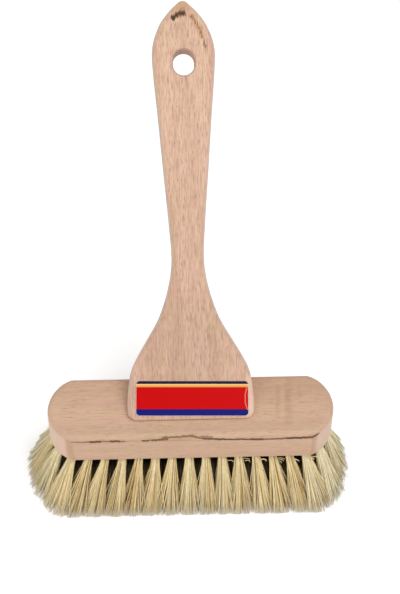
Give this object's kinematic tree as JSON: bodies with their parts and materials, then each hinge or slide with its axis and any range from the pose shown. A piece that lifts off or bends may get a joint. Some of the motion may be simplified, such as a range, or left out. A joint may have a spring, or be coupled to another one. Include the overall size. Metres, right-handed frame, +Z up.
{
  "type": "bathtub brush",
  "caption": "Beech scrubbing brush with a round-ended block of plant-fibre tufts and a long slanted paddle handle with a hanging hole.",
  "frame": {"origin": "on the surface that the tufts stand on, under the middle of the whole brush's length", "axes": "+X along the brush block, +Y level, the way the handle leans, from the block towards the handle's tip, +Z up"},
  "size_m": [0.2315, 0.3002, 0.2204],
  "materials": {
    "block_beech": "bare planed beech, fine grain along the block",
    "handle_beech": "bare sanded beech with short brown flecks along the handle",
    "screw_steel": "zinc-plated steel",
    "label_paper": "smooth printed paper label with plain stripes",
    "tuft_fibre": "stiff pale plant fibre, matt"
  },
  "bodies": {
    "root": {"brush_block": "block_beech", "handle": "handle_beech", "handle_screw_left": "screw_steel", "handle_screw_middle": "screw_steel", "handle_screw_right": "screw_steel", "label": "label_paper", "tuft_ring_outer": "tuft_fibre", "tuft_ring_inner": "tuft_fibre", "tuft_row_middle": "tuft_fibre"}
  },
  "joints": []
}
